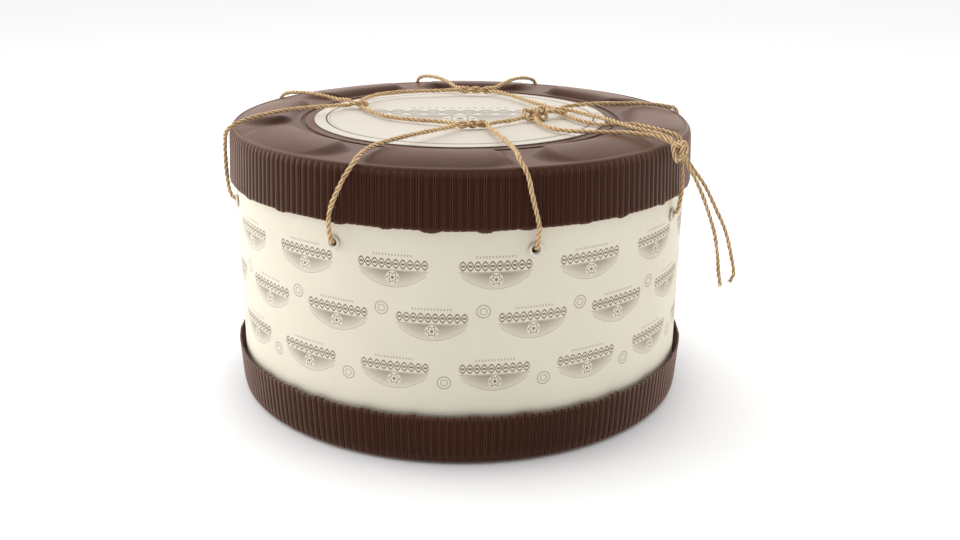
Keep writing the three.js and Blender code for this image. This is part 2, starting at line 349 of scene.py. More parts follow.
def cream_card_finish():
    tone = sizes("finishes")
    material, tree, shader = finish("cream_card_finish", 0.62, 0.35)
    mottle, height = grain(tree, 1100, 30)
    card = shaded(tree, mottle.ranged(0.35, 0.65, 0.0, 1.0), tone.card, 0.955)
    ink = wall_print(tree) * mottle.ranged(0.3, 0.7, 0.78, 0.98)
    printed = mixed(tree, ink, card, tone.print_ink[:])
    surfaced(tree, shader, printed, mottle.ranged(0.3, 0.7, 0.56, 0.7), height, 0.00008)
    return material


def label_finish():
    """Cream paper with a thin ring near its edge and the garland, enlarged, in the middle."""
    tone = sizes("finishes")
    material, tree, shader = finish("label_finish", 0.6, 0.35)
    mottle, height = grain(tree, 1300, 22)
    x, y, _ = axes(tree, object_place(tree))
    radius = (x * x + y * y).make("SQRT") * 1000.0
    ring = abs(radius - 72.6).below(0.50, 0.14)
    hairline = abs(radius - 70.9).below(0.16, 0.12) * 0.6
    art = garland(tree, x * (1000.0 / 2.9), (y * 1000.0 - 3.0) / 2.9) * 0.75
    art = art.make("MAXIMUM", hairline)
    paper = shaded(tree, mottle.ranged(0.35, 0.65, 0.0, 1.0), tone.label, 0.95)
    printed = mixed(tree, ring.make("MAXIMUM", art) * 0.9, paper, tone.ring_ink[:])
    surfaced(tree, shader, printed, mottle.ranged(0.3, 0.7, 0.52, 0.68), height, 0.00007)
    return material


def eyelet_finish():
    tone = sizes("finishes")
    material, tree, shader = finish("eyelet_finish", 0.35)
    mottle, height = grain(tree, 1800, 240)
    base = shaded(tree, mottle.ranged(0.3, 0.7, 0.0, 1.0), tone.eyelet, 0.9)
    surfaced(tree, shader, base, mottle.ranged(0.3, 0.7, 0.28, 0.42), height, 0.00004)
    return material


def jute_finish():
    """Streaks of fibre along each strand, with painted shade in the grooves between strands and painted
    highlight on their crowns.
    """
    tone = sizes("finishes")
    material, tree, shader = finish("jute_finish", 0.85, 0.25)
    uv = tree.nodes.new("ShaderNodeUVMap")
    uv.uv_map = "fibre"
    streaks = noise_field(tree, uv.outputs["UV"], 1.0, 5.0, (5.0, 420.0, 1.0))
    patches = noise_field(tree, uv.outputs["UV"], 1.0, 2.0, (0.4, 90.0, 1.0))
    # painted light and shade: each strand's crown lighter, the grooves between strands darker
    crown = attribute_field(tree, "outward").ranged(0.36, 0.90, 0.0, 1.0)
    light = crown * 0.72 + streaks.ranged(0.32, 0.68, -0.25, 0.35) + patches.ranged(0.3, 0.7, -0.12, 0.12)
    light = light.make("ADD", 0.02, clamp=True)
    base = mixed(tree, light, tone.jute_dark[:], tone.jute_light[:])
    tree.links.new(base, shader.inputs["Base Color"])
    bumped(tree, shader, streaks, 0.00018, 0.8)
    return material


FINISH_MAKERS = {
    "brown_sheet": brown_sheet_finish,
    "cream_card": cream_card_finish,
    "cream_paper": label_finish,
    "ivory_eyelet": eyelet_finish,
    "jute_twine": jute_finish,
}


def material_for(slot):
    """The slot's finish. Each material has the name of the function that makes it."""
    maker = FINISH_MAKERS[slot]
    return bpy.data.materials.get(maker.__name__) or maker()


# ---- mesh helpers ----
def piece_from(name, points, faces, slot, nodes):
    """A smooth visible piece that rides on the box and stands in for its CAD nodes."""
    mesh = bpy.data.meshes.new(name)
    mesh.from_pydata([tuple(p) for p in points], [], [tuple(f) for f in faces])
    mesh.update()
    mesh.shade_smooth()
    piece = bpy.data.objects.new(name, mesh)
    bpy.context.scene.collection.objects.link(piece)
    mesh.materials.append(material_for(slot))
    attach(piece, "root")
    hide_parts(*nodes)
    return piece


def ring_faces(rows, columns, closed_rows=False):
    """Quads between rings of points, each ring closed on itself, facing out when rows go up the outside."""
    r = np.arange(rows if closed_rows else rows - 1)[:, None]
    c = np.arange(columns)[None, :]
    a = r * columns + c
    b = r * columns + (c + 1) % columns
    up = ((r + 1) % rows) * columns
    quads = np.stack([a, b, up + (c + 1) % columns, up + c], axis=-1)
    return quads.reshape(-1, 4)


def smoothstep(t):
    t = np.clip(t, 0.0, 1.0)
    return t * t * (3 - 2 * t)


def turned_piece(name, radius, height, turns, slot, node, rubbed_and_highlight=None):
    """Radius and height are [row, column]; rows run up the outside and back down the inside."""
    x, y = radius * np.sin(turns), -radius * np.cos(turns)
    points = np.stack([x, y, height], axis=-1).reshape(-1, 3)
    rows, columns = radius.shape
    faces = ring_faces(rows, columns).tolist()
    first, last = len(points), len(points) + 1
    points = np.vstack([points, [0, 0, height[0].mean()], [0, 0, height[-1].mean()]])
    tail = (rows - 1) * columns
    for c in range(columns):
        n = (c + 1) % columns
        faces.append((first, n, c))
        faces.append((last, tail + c, tail + n))
    piece = piece_from(name, points, faces, slot, (node,))
    piece.data.set_sharp_from_angle(angle=math.radians(32))
    # per-point share of real edge wear and painted highlight, read by the brown sheet's finish
    if rubbed_and_highlight is not None:
        layer = piece.data.attributes.new("rubbed_and_highlight", "FLOAT", "POINT")
        layer.data.foreach_set("value", np.append(rubbed_and_highlight.reshape(-1), [0.0, 0.0]).astype(np.float32))


class Rows:
    """Rings of points for a turned piece, one row after another."""

    def __init__(self, turns):
        self.shape, self.radii, self.heights, self.wear = turns.shape, [], [], []

    def add(self, radius, height, wear=0.0):
        self.radii.append(np.broadcast_to(radius, self.shape))
        self.heights.append(np.broadcast_to(height, self.shape))
        self.wear.append(np.broadcast_to(wear, self.shape))

    def piece(self, name, turns, node, order=1):
        """The brown sheet through all the rows; order -1 takes them from the last to the first."""
        radii, heights, wear = (np.array(rows)[::order] for rows in (self.radii, self.heights, self.wear))
        turned_piece(name, radii, heights, turns, "brown_sheet", node, wear)


def axis_rings(degrees, height, rings, columns):
    """Rings round a level axis that points out of the wall, each given by its radius and its distance out."""
    a = math.radians(degrees)
    out, along = Vector((math.sin(a), -math.cos(a), 0)), Vector((math.cos(a), math.sin(a), 0))
    points = []
    for radius, distance in rings:
        for k in range(columns):
            b = 2 * math.pi * k / columns
            spot = out * distance + along * radius * math.cos(b) + Vector((0, 0, radius * math.sin(b)))
            points.append(tuple(spot + Vector((0, 0, height))))
    return points


RIB_STOPS = (0.0, 0.09, 0.17, 0.225, 0.87, 0.925)  # shares of a rib's pitch that get a point
RIB_CORNER = 0.70  # how high a ridge's rounded corners stand, which get the lightest painted highlight
RIB_RISE = (-1.0, -1.0, RIB_CORNER, 1.0, 1.0, RIB_CORNER)  # flute floor, then the ridge's face


def rib_columns(count):
    """Angles of the points round a ribbed skirt, and each one's place from flute floor to ridge."""
    starts = np.arange(count)[:, None]
    turns = ((starts + np.array(RIB_STOPS)[None, :]) * 2 * math.pi / count).reshape(-1)
    return turns, np.tile(RIB_RISE, count)


def corner_wear(relief, on_corner, elsewhere):
    """How much painted highlight each point gets: on_corner at the ridges' corners, elsewhere on the rest."""
    return np.where(np.abs(relief - RIB_CORNER) < 0.01, on_corner, elsewhere)


def apart(turns, angle):
    """Signed difference between each turn and an angle, within half a turn."""
    return (turns - angle + math.pi) % (2 * math.pi) - math.pi


def trimmed_edge(turns, seed, wander, nub_height):
    """A die-cut edge: it wanders a little and has a small torn nub every few centimetres."""
    chance = random.Random(seed)
    edge = np.zeros_like(turns)
    for wave in (3, 7, 13, 29):
        edge += wander / 3 * np.sin(wave * turns + chance.uniform(0, 6.28)) * chance.uniform(0.5, 1)
    place = chance.uniform(0, 0.1)
    while place < 2 * math.pi - 0.06:
        away = np.abs(apart(turns, place))
        width = chance.uniform(0.016, 0.030)
        edge += nub_height * chance.uniform(0.6, 1.1) * smoothstep(1.5 - away / width)
        place += chance.uniform(0.14, 0.30)
    return edge


def pillow_rise(radius, turns):
    """Eight long rounded pillows between the lacing valleys."""
    step = math.radians(45)
    side = np.abs((turns - math.radians(EYELETS[0])) % step - step / 2)  # angle from the pillow's middle
    inner, outer, corner = 0.0898, 0.1200, 0.0142
    middle, half = (inner + outer) / 2, (outer - inner) / 2
    towards_edge = np.clip((np.abs(radius - middle) - (half - corner)) / corner, 0, 1)
    half_length = math.radians(20.4) * middle - corner * (1 - np.sqrt(1 - towards_edge**2))
    ends = smoothstep((half_length - side * middle) / 0.0100)
    rise_in = 1 - (1 - np.clip((radius - inner) / 0.0085, 0, 1)) ** 2.2
    fall_out = 1 - (1 - np.clip((outer - radius) / 0.0215, 0, 1)) ** 2.0
    return sizes("lid").pillow_height * ends * rise_in * fall_out


LABEL_THICKNESS = 0.0006
SHOULDER_FALL = 1.2       # how steeply the shoulder falls outside the fold
LID_REACH = 0.1215        # radius within which the twine lies on the lid's top
LID_TOP_FLOOR = 0.140     # twine lower than this hangs beside the lid


def lid_top(x, y):
    """Height of the lid's or the label's upper face under a point."""
    lid = sizes("lid")
    radius = math.hypot(x, y)
    if radius < sizes("wall").label_radius:
        return lid.level + LABEL_THICKNESS
    if radius > lid.fold_radius:
        return lid.level - (radius - lid.fold_radius) * SHOULDER_FALL
    rise = pillow_rise(np.array([radius]), np.array([math.atan2(x, -y)]))
    return lid.level + float(rise[0])


# ---- twine ----
def distances(path):
    """How far along the path each of its points lies."""
    return np.concatenate([[0], np.cumsum(np.linalg.norm(np.diff(path, axis=0), axis=1))])


def between(first, second, low, high, t):
    """A straight blend that is first at low and second at high."""
    return (high - t) / (high - low) * first + (t - low) / (high - low) * second


def smooth_path(points, step):
    """A centripetal curve through the points, sampled at an even step."""
    p = np.array(points, float)
    p = np.vstack([2 * p[0] - p[1], p, 2 * p[-1] - p[-2]])
    dense = []
    for i in range(1, len(p) - 2):
        knots = [0.0]
        for j in range(3):
            knots.append(knots[-1] + max(np.linalg.norm(p[i + j] - p[i + j - 1]), 1e-9) ** 0.5)
        t = np.linspace(knots[1], knots[2], 14, endpoint=i == len(p) - 3)[:, None]
        a = [between(p[i + j - 1], p[i + j], knots[j], knots[j + 1], t) for j in range(3)]
        b = [between(a[j], a[j + 1], knots[j], knots[j + 2], t) for j in range(2)]
        dense.append(between(b[0], b[1], knots[1], knots[2], t))
    dense = np.vstack(dense)
    run = distances(dense)
    count = max(int(run[-1] / step), 4)
    places = np.linspace(0, run[-1], count + 1)
    return np.stack([np.interp(places, run, dense[:, k]) for k in range(3)], axis=1), run[-1]


def carried_frames(path):
    """Two directions across the path at each point, carried along it without twist."""
    tangent = np.gradient(path, axis=0)
    tangent /= np.linalg.norm(tangent, axis=1)[:, None]
    side = np.cross(tangent[0], [0.0, 0.0, 1.0])
    if np.linalg.norm(side) < 0.1:
        side = np.cross(tangent[0], [0.0, 1.0, 0.0])
    sides = []
    for t in tangent:
        side = side - t * np.dot(side, t)
        side /= np.linalg.norm(side)
        sides.append(side)
    sides = np.array(sides)
    return tangent, sides, np.cross(tangent, sides)


# a crown value sets the share of painted highlight against painted groove shade
LOOSE_CROWN = 0.62  # crown value of a fibre that has no strand's middle to turn away from


def add_tube(store, path, radius, columns, across=None):
    """One tube with closed ends into the store of points, faces, fibre coordinates and crown values, which
    set the painted highlight and groove shade.
    """
    rows = len(path)
    _, side, rise = carried_frames(path)
    angle = np.arange(columns) * 2 * math.pi / columns
    spoke = side[:, None, :] * np.cos(angle)[None, :, None] + rise[:, None, :] * np.sin(angle)[None, :, None]
    radii = np.broadcast_to(np.asarray(radius, float).reshape(-1, 1, 1), (rows, 1, 1))
    points = path[:, None, :] + spoke * radii
    base = store["count"]
    faces = ring_faces(rows, columns)[:, ::-1] + base
    u = np.broadcast_to(angle[None, :] / (2 * math.pi), (rows, columns))
    v = np.broadcast_to(distances(path)[:, None] + store["tubes"] * 0.37, (rows, columns))
    if across is None:
        crown = np.full((rows, columns), LOOSE_CROWN)
    else:
        # how far each point faces out from the twine's middle: painted highlight on top, painted shade in the
        # grooves
        outward = across / np.maximum(np.linalg.norm(across, axis=1), 1e-9)[:, None]
        crown = 0.5 + 0.5 * np.einsum("rck,rk->rc", spoke, outward)
    store["points"].append(points.reshape(-1, 3))
    store["faces"].append(faces)
    store["uv"].append(np.stack([u, v], axis=-1).reshape(-1, 2))
    store["crown"].append(crown.reshape(-1))
    store["caps"].append(list(range(base, base + columns)))
    store["caps"].append(list(range(base + (rows - 1) * columns, base + rows * columns))[::-1])
    store["count"] += rows * columns
    store["tubes"] += 1


HUMP_REACH = 0.004  # half the length over which a hump is widened and then smoothed


def rested(path):
    """Lifts the path in long low humps wherever it would sink into the lid or the label."""
    radius, step = sizes("twine").diameter / 2, sizes("twine").step
    lift = np.zeros(len(path))
    for i, (x, y, z) in enumerate(path):
        if z > LID_TOP_FLOOR and math.hypot(x, y) < LID_REACH:
            lift[i] = max(0.0, lid_top(x, y) + radius - z)
    if not lift.any():
        return path
    reach = max(int(HUMP_REACH / step), 1)
    for gather in (np.max, np.mean):
        padded = np.pad(lift, reach, mode="edge")
        lift = np.array([gather(padded[i:i + 2 * reach + 1]) for i in range(len(lift))])
    return path + np.stack([0 * lift, 0 * lift, lift], axis=1)


def empty_store():
    return {"points": [], "faces": [], "uv": [], "crown": [], "caps": [], "count": 0, "tubes": 0}


STRAND_RADIUS = 0.238   # shares of the twine's diameter
STRAND_OFFSET = 0.240
STRAND_SIDES = 7
FLARE_LENGTH = 0.004    # the end of the twine over which its strands spread
FLARE_THINNING = 0.35


def lay_twine(store, points, seed, flare=0.0, scale=1.0):
    """Three strands laid round the path. Returns the even path and its length."""
    twine = sizes("twine")
    path, run = smooth_path(points, twine.step)
    path = rested(path)
    _, side, rise = carried_frames(path)
    place = np.linspace(0, run, len(path))
    chance = random.Random(seed)
    wobble = 1
    for size, wave in ((0.05, 310), (0.04, 790)):
        wobble = wobble + size * np.sin(place * wave + chance.uniform(0, 6))
    strand_radius = twine.diameter * STRAND_RADIUS * scale
    from_middle = twine.diameter * STRAND_OFFSET * scale
    opened = smoothstep((place - (run - FLARE_LENGTH)) / FLARE_LENGTH)
    spread = 1 + flare * opened
    thickness = strand_radius * wobble
    if flare:
        thickness = thickness * (1 - FLARE_THINNING * opened)
    for strand in range(3):
        turn = place / twine.lay * 2 * math.pi + strand * 2 * math.pi / 3
        across = side * np.cos(turn)[:, None] + rise * np.sin(turn)[:, None]
        line = path + across * (from_middle * wobble * spread)[:, None]
        add_tube(store, line, thickness, STRAND_SIDES, across)
    return path, run


FIBRES_PER_METRE = 420
FIBRE_REACH = 0.122  # radius within which a fibre must stay above the lid


def add_fuzz(store, path, seed):
    """Fine loose fibres that stand out from the twine."""
    chance = random.Random(seed)
    tangent, side, rise = carried_frames(path)
    radius = sizes("twine").diameter / 2
    for _ in range(int(len(path) * sizes("twine").step * FIBRES_PER_METRE)):
        i = chance.randrange(2, len(path) - 2)
        a = chance.uniform(0, 2 * math.pi)
        out = side[i] * math.cos(a) + rise[i] * math.sin(a)
        drift = tangent[i] * chance.choice((-1, 1))
        size = chance.uniform(0.0012, 0.0028)
        curl = chance.uniform(-0.5, 0.5)
        sideways = np.cross(out, drift) * curl
        line = [path[i] + out * radius * 0.8]
        for k in range(1, 5):
            t = k / 4
            lift = min(size * 0.55 * math.sin(t * chance.uniform(1.2, 2.0)), 0.0012)
            line.append(path[i] + out * (radius * 0.8 + lift) + (drift + sideways * t) * size * t)
        if any(p[2] < lid_top(p[0], p[1]) and math.hypot(p[0], p[1]) < FIBRE_REACH for p in line):
            continue
        add_tube(store, np.array(line), np.linspace(0.00006, 0.000025, 5), 3)


def furred(store, points, seed, fuzz_seed, **shape):
    """Twine with its loose fibres. Returns its even path and its length."""
    path, run = lay_twine(store, points, seed, **shape)
    add_fuzz(store, path, fuzz_seed)
    return path, run


def twine_piece(name, store, nodes):
    points = np.vstack(store["points"])
    faces = np.vstack(store["faces"]).tolist() + store["caps"]
    piece = piece_from(name, points, faces, "jute_twine", nodes)
    uv, crown = np.vstack(store["uv"]), np.concatenate(store["crown"])
    corners = np.zeros(len(piece.data.loops), np.int32)
    piece.data.loops.foreach_get("vertex_index", corners)
    layer = piece.data.uv_layers.new(name="fibre")
    layer.data.foreach_set("uv", uv[corners].reshape(-1).astype(np.float32))
    # crown values carry the painted light and shade to the jute finish
    outward = piece.data.attributes.new("outward", "FLOAT", "POINT")
    outward.data.foreach_set("value", crown.astype(np.float32))
    return piece


def around(radius, degrees, height):
    a = math.radians(degrees)
    return (radius * math.sin(a), -radius * math.cos(a), height)


def mm(*points):
    return [(x / 1000, y / 1000, z / 1000) for x, y, z in points]


def rising(eyelet, side, *outside):
    """From the middle of an inner span, out through an eyelet and over the rim through outside's places."""
    half_step = 22.5
    span = 119 * math.cos(math.radians(half_step))
    points = [
        (span, eyelet + side * half_step, 107.4),
        (115, eyelet + side * 9, 107.4),
        (118.9, eyelet + side * 1.0, 107.8),
        (122.3, eyelet, 108.0),
    ]
    return mm(*[around(*place) for place in points + list(outside)])


def coil_pair(start, end):
    """Two lines wound once round each other from start to end, each a list of points in millimetres."""
    start, end = np.array(start, float), np.array(end, float)
    direction = (end - start) / np.linalg.norm(end - start)
    side, radius, count = np.cross(direction, [0, 0, 1.0]), 1.15, 8
    lines = [], []
    for k in range(count + 1):
        t = k / count
        a = math.pi / 2 + t * 2 * math.pi
        offset = side * math.cos(a) * radius + np.array([0, 0, 1.0]) * math.sin(a) * radius
        for line, sign in zip(lines, (1, -1)):
            line.append(tuple(start + (end - start) * t + offset * sign))
    return lines


JOINS = {
    "front": coil_pair((1.2, -39.6, 149.1), (11.6, -36.6, 149.1)),
    "back": coil_pair((3.0, 62.6, 150.1), (16.0, 62.0, 150.1)),
}


def lacing_route():
    front, back = JOINS["front"][0], JOINS["back"][0]
    route = rising(
        -118.5, -1, (125.0, -118.5, 109.0), (126.2, -118.5, 113), (126.9, -118.6, 120), (127.0, -119, 130),
        (126.4, -119.6, 139), (125.4, -120.1, 144.2), (122.6, -120.1, 147.3),
    )
    route += mm(
        (-102.6, 58.8, 148.8), (-95.4, 52.8, 150.0), (-86.3, 45.2, 150.6), (-77.7, 38.1, 150.2),
        (-69.6, 31.2, 149.6), (-63.6, 25.0, 150.4), (-59.4, 20.6, 149.4), (-54.8, 20.6, 147.9),
        (-52.4, 18.8, 149.2), (-54.6, 15.6, 150.6), (-58.6, 16.0, 150.3), (-63.0, 18.6, 148.6),
        (-67.4, 12.2, 149.6), (-76.5, 0.5, 151.0), (-85.1, -6.9, 151.6), (-92.6, -13.3, 151.6),
        (-100.6, -20.2, 151.2), (-108.1, -26.5, 150.2), (-114.0, -31.5, 148.9),
    )
    route += rising(
        -73.5, 1, (124.9, -74.6, 109.4), (126.3, -76.6, 113.5), (126.9, -77.2, 120.6), (127.0, -77.4, 128),
        (126.7, -76.8, 137.8), (125.8, -74.8, 144), (122.6, -73.9, 147.4),
    )[::-1]
    route += rising(
        -28.5, -1, (124.9, -28.3, 108.6), (126.5, -28.2, 113.2), (127.6, -27.9, 119.8),
        (128.0, -27.3, 125.0), (128.0, -26.2, 130.7), (127.5, -25.2, 135.4), (126.5, -24.0, 140.8),
        (124.5, -22.9, 145.2), (121.4, -22.3, 148.4),
    )[1:]
    route += mm(
        (-41.3, -98.5, 150.2), (-34.3, -89.1, 151.0), (-23.6, -74.6, 151.0), (-11.9, -58.7, 150.2),
        (-4.0, -46.6, 149.6),
    )
    route += mm(*front)
    route += mm(
        (13.3, -37.6, 149.8), (14.3, -40.0, 149.2), (15.0, -44.6, 148.8), (17.0, -56, 149.2),
        (19.6, -69, 149.4), (22.2, -84, 149.7), (24.2, -96, 150.0), (25.8, -109, 150.2),
    )
    route += rising(
        16.5, 1, (124.8, 16.4, 109.0), (125.8, 16.4, 113.1), (127.0, 16.4, 118.2), (127.8, 15.9, 123.2),
        (128.0, 15.4, 127.2), (127.6, 14.9, 131.7), (127.0, 14.4, 136.9), (126.0, 14.0, 141.9),
        (124.5, 13.3, 146.1), (121.4, 12.7, 149.0),
    )[::-1]
    route += rising(
        61.5, -1, (124.8, 61.3, 108.9), (126.0, 60.9, 112.4), (127.0, 60.7, 118.5), (127.2, 60.6, 124),
        (126.9, 60.4, 131), (126.3, 60.4, 140), (125.2, 60.5, 145.4),
    )[1:]
    route += mm(
        (106.9, -61.4, 148.1), (102.0, -56.6, 149.4), (95, -48.0, 149.6), (89, -42.0, 149.8),
        (81.5, -36.8, 149.0), (74.5, -34.0, 148.0), (67.0, -28.4, 148.2), (61.4, -21.0, 148.4),
        (57.0, -9.4, 148.6), (54.2, -2.6, 148.6), (54.4, 1.2, 149.8), (57.6, 3.4, 150.6),
        (66.6, 5.5, 151.4), (76.2, 8.1, 151.7), (85.8, 10.7, 151.2), (95.4, 13.2, 150.9),
        (108.8, 16.8, 149.7), (117.0, 18.4, 148.2),
    )
    route += rising(
        106.5, 1, (125.0, 106.5, 109.0), (126.3, 106.4, 113), (126.9, 105.6, 120), (127.0, 104, 130),
        (126.2, 101.6, 138), (125.2, 100.2, 143.8), (122.6, 99.4, 147.0),
    )[::-1]
    route += rising(
        151.5, -1, (125.0, 151.5, 109.0), (126.3, 151.6, 113), (127.0, 152.4, 120), (127.0, 154, 130),
        (126.4, 156, 139), (125.4, 156.8, 144.2), (122.8, 157.0, 147.4),
    )[1:]
    route += mm(
        (44.6, 107.1, 149.8), (38.7, 96.8, 151.9), (31.9, 84.9, 152.5), (26.3, 75.2, 151.7),
        (20.6, 66.6, 150.6),
    )
    route += mm(*back[::-1])
    route += mm(
        (-1.6, 68.6, 150.6), (-6.6, 79.0, 151.9), (-13.0, 91.4, 152.7), (-19.0, 103.0, 152.1),
        (-24.4, 113.6, 150.2),
    )
    route += rising(
        -163.5, 1, (125.0, -163.5, 109.0), (126.3, -163.6, 113), (127.0, -164, 120), (127.0, -165, 130),
        (126.4, -166.4, 139), (125.2, -167.0, 144.4), (122.6, -167.2, 147.6),
    )[::-1]
    return route


def draw_route():
    front, back = JOINS["front"][1], JOINS["back"][1]
    route = mm(
        (104.2, -73.2, 146.4), (101.8, -70.2, 148.4), (98.2, -66.6, 149.8), (92.4, -61, 150.4),
        (87.0, -53.6, 150.4), (82.2, -46, 150.6), (77.4, -37.0, 150.9), (74.2, -30.4, 150.9),
        (70.4, -22.6, 150.5), (65.6, -14.6, 150.4), (60.6, -7.6, 150.6), (55.6, -4.8, 151.0),
        (50.0, -6.0, 150.6), (45.6, -8.6, 149.6), (39.4, -14.6, 149.0), (33, -20.4, 149.0),
        (26, -26.4, 148.6), (18.4, -32.4, 148.8),
    )
    route += mm(*front[::-1])
    route += mm(
        (-2.6, -35.4, 148.8), (-9, -29.4, 148.6), (-20, -24.4, 148.4), (-31.0, -19.0, 148.3),
        (-40.0, -12.0, 148.3), (-48.6, 1.0, 148.3), (-54.2, 13.0, 148.5), (-56.4, 17.6, 149.2),
        (-56.0, 22.6, 150.2), (-53.6, 34, 150.0), (-47.0, 46.5, 150.0), (-38.0, 54.0, 150.0),
        (-26.0, 58.2, 149.9), (-12, 60.4, 149.9), (-3, 62.4, 150.1),
    )
    route += mm(*back)
    route += mm(
        (20.4, 59.6, 149.6), (27.6, 51.6, 149.4), (34.8, 38.6, 149.3), (41.6, 24.7, 149.2),
        (48.3, 13.2, 149.2), (53.6, 3.6, 149.2), (57.2, -2.0, 149.2), (56.4, -7.4, 149.4),
        (52.4, -9.6, 150.4), (48.4, -10.4, 150.6), (43.4, -12.4, 149.6), (40.4, -18.0, 149.0),
        (40.6, -26, 148.6), (42.6, -35, 148.4), (47.0, -45, 148.3), (54.6, -51.8, 148.6),
        (63, -57.0, 149.2), (72.5, -61.6, 150.0), (82, -65.2, 150.4), (90.4, -69.4, 150.4),
        (96.8, -73.2, 149.8),
    )
    route += mm((101.2, -76.0, 148.0), (103.8, -77.4, 145.8))
    return route


TAILS = {
    "tail_1": mm(
        (105.8, -78.4, 143.4), (107.8, -79.4, 139.8), (111.8, -80.2, 133.4), (115.4, -80.4, 126.8),
        (120.2, -79.8, 116), (124.8, -78.8, 103.4), (127.4, -78, 92), (128.6, -77.6, 83.6),
        (130.2, -77.2, 75.8),
    ),
    "tail_2": mm(
        (107.4, -77.4, 143.2), (109.4, -77.4, 139.8), (114, -77, 133.4), (118.6, -76.6, 127.2),
        (125.2, -76, 115.2), (131.0, -75.4, 103.4), (135.2, -75, 89.6), (137.0, -74.8, 81.6),
        (136.6, -74.7, 79.2), (135.4, -74.5, 77.0),
    ),
}


def trefoil(centre, size, flat, turn, tilt, tilt_angle):
    """A three-lobed overhand knot, closed on itself. Its two angles are in degrees."""
    points = []
    for k in range(49):
        t = k / 48 * 2 * math.pi
        x, y = math.sin(t) + 2 * math.sin(2 * t), math.cos(t) - 2 * math.cos(2 * t)
        spot = Vector((x * size, y * size, -math.sin(3 * t) * flat))
        spot.rotate(Quaternion((0, 0, 1), math.radians(turn)))
        spot.rotate(Quaternion(tilt, math.radians(tilt_angle)))
        points.append(tuple(Vector(centre) + spot))
    return points


def open_knot_lines():
    """A loose figure of eight that stands up from the label, and the turn that binds its middle."""
    lean, turn = math.radians(48), math.radians(24)
    middle = Vector((0.0402, -0.0162, 0.1502))
    long_way = Vector((math.cos(turn), math.sin(turn), 0))
    up_way = Vector((-math.sin(turn) * math.cos(lean), math.cos(turn) * math.cos(lean), math.sin(lean)))
    out_way = long_way.cross(up_way)
    eight = [tuple(middle + long_way * 0.0064 * math.sin(t) + up_way * 0.0036 * math.sin(2 * t)
                   + out_way * 0.0012 * math.cos(t)) for t in np.linspace(0, 2 * math.pi, 41)]
    bind = [tuple(middle + long_way * (0.0003 * t - 0.0012) + up_way * 0.0026 * math.cos(t)
                  + out_way * 0.0025 * math.sin(t)) for t in np.linspace(0, 2 * math.pi * 1.3, 26)]
    return eight, bind


# ---- operators ----
class GIFTBOX_OT_stage(bpy.types.Operator):
    """Camera, pale floor, backdrop light and soft studio lamps"""

    bl_idname = "giftbox.stage"
    bl_label = "Stage"

    def execute(self, context):
        scene = context.scene
        camera = bpy.data.cameras.new("camera")
        camera.lens, camera.sensor_width = 40.1, 36
        camera.shift_x, camera.shift_y = 0.0332, -0.0054
        camera.clip_start = 0.01
        eye = bpy.data.objects.new("camera", camera)
        eye.location = (0, -0.5809, 0.2566)
        eye.rotation_euler = (math.radians(90 - 18.70), 0, math.radians(0.63))
        scene.collection.objects.link(eye)
        scene.camera = eye
        scene.view_settings.view_transform = "Standard"

        mesh = bpy.data.meshes.new("floor")
        columns, reach = 96, 7.0
        points = [(0, 0, 0)] + [around(reach, 360 * c / columns, 0) for c in range(columns)]
        mesh.from_pydata(points, [], [(0, 1 + c, 1 + (c + 1) % columns) for c in range(columns)])
        floor = bpy.data.objects.new("floor", mesh)
        scene.collection.objects.link(floor)
        material, tree, shader = finish("floor_finish", 0.9, 0.1)
        mottle, _ = grain(tree, 40, 3)
        whites = (0.975, 0.975, 0.975, 1), (0.985, 0.985, 0.985, 1)
        fill(tree, shader, {"Base Color": mixed(tree, mottle.ranged(0.3, 0.7, 0.0, 1.0), *whites)})
        mesh.materials.append(material)

        world = bpy.data.worlds.new("studio")
        world.use_nodes = True
        tree = world.node_tree
        _, back, high = axes(tree, added(tree, "TexCoord", {}).outputs["Generated"])
        front = back * -1.0
        dark_panel = front.ranged(0.05, 0.60, 0.0, 1.0) * high.ranged(0.10, 0.40, 0.0, 1.0)
        sky = mixed(tree, dark_panel, (1, 1, 1, 1), (0.17, 0.17, 0.17, 1))
        fill(tree, tree.nodes["Background"], {"Color": sky, "Strength": 1.22})
        scene.world = world

        lamps = (
            ("side_left", (-1.0, 0.1, 0.5), (0.9, 0.9), 5.5),
            ("side_right", (1.0, 0.1, 0.5), (0.9, 0.9), 1.2),
            ("overhead", (0.0, 0.20, 1.2), (1.2, 0.9), 4.5),
        )
        for name, place, area, power in lamps:
            light = bpy.data.lights.new(name, "AREA")
            light.shape, light.size, light.size_y, light.energy = "RECTANGLE", area[0], area[1], power
            lamp = bpy.data.objects.new(name, light)
            lamp.location = place
            lamp.rotation_euler = (Vector((0, 0, 0.08)) - Vector(place)).to_track_quat("-Z", "Y").to_euler()
            scene.collection.objects.link(lamp)
        return {"FINISHED"}


class GIFTBOX_OT_lacing(bpy.types.Operator):
    """The taut twine that laces the lid down through the eight eyelets"""

    bl_idname = "giftbox.lacing"
    bl_label = "Lacing Twine"

    def execute(self, context):
        store = empty_store()
        path, run = furred(store, lacing_route(), 11, 12)
        stretches = ("lacing_front", "lacing_left", "lacing_back", "lacing_right_upper", "lacing_right_lower")
        piece = twine_piece("lacing_twine", store, stretches)
        inner = empty_store()
        furred(inner, trefoil(around(0.1099, -141, 0.1074), 0.00105, 0.0011, 40, (1, 0, 0), 80), 13, 14)
        inner_knot = twine_piece("inner_knot", inner, ("lacing_knot",))
        sizes("twine").diameter
        return {"FINISHED"}


